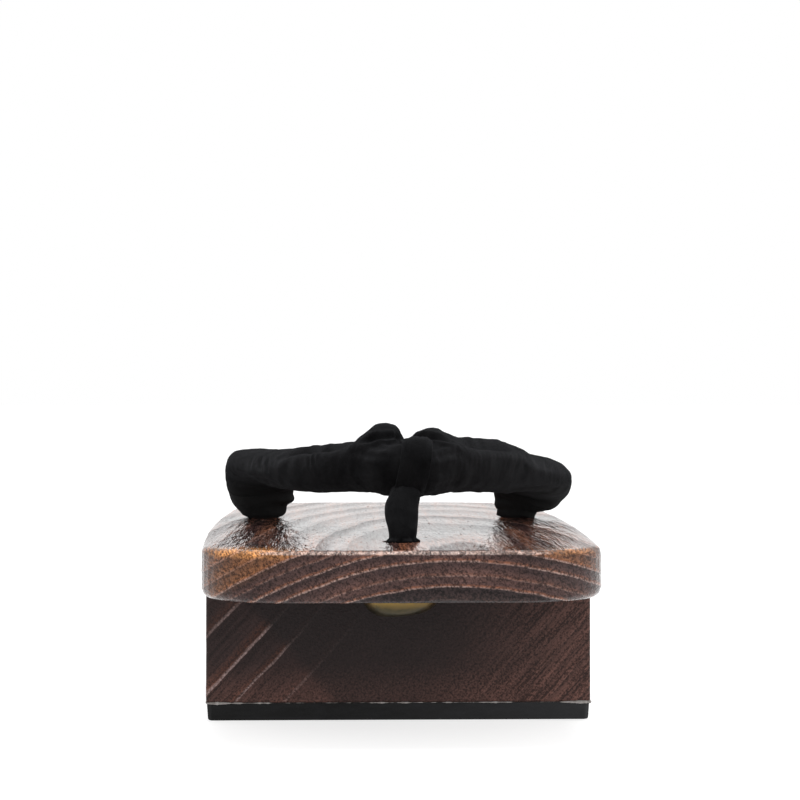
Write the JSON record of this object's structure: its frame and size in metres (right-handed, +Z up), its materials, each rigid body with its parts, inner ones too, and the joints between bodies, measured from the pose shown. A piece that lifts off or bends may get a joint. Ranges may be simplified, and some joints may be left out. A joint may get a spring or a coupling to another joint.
{
  "type": "geta sandal",
  "caption": "Two-tooth wooden geta sandal with a padded velvet V strap, toe thong, brass toe cap under the deck and rubber sole pads.",
  "frame": {"origin": "on the ground, under the middle of the sandal", "axes": "+Z up; the toe points towards -Y and the heel towards +Y; +X is the sandal's own left side as worn, which is on the right when the toe faces the viewer"},
  "size_m": [0.1161, 0.26, 0.0832],
  "materials": {
    "deck_wood": "scorched and brushed paulownia, satin wax, raised grain",
    "tooth_wood": "scorched and brushed paulownia, satin, slanting grain",
    "sole_rubber": "matte black",
    "strap_velvet": "black velvet, stuffed",
    "cap_brass": "pressed and polished, slightly dulled",
    "knot_cord": "twisted black cord"
  },
  "bodies": {
    "root": {"deck": "deck_wood", "front_tooth": "tooth_wood", "rear_tooth": "tooth_wood", "front_rubber_sole": "sole_rubber", "rear_rubber_sole": "sole_rubber", "straps": "strap_velvet", "toe_thong": "strap_velvet", "toe_cap": "cap_brass", "left_strap_knot": "knot_cord", "right_strap_knot": "knot_cord"}
  },
  "joints": []
}
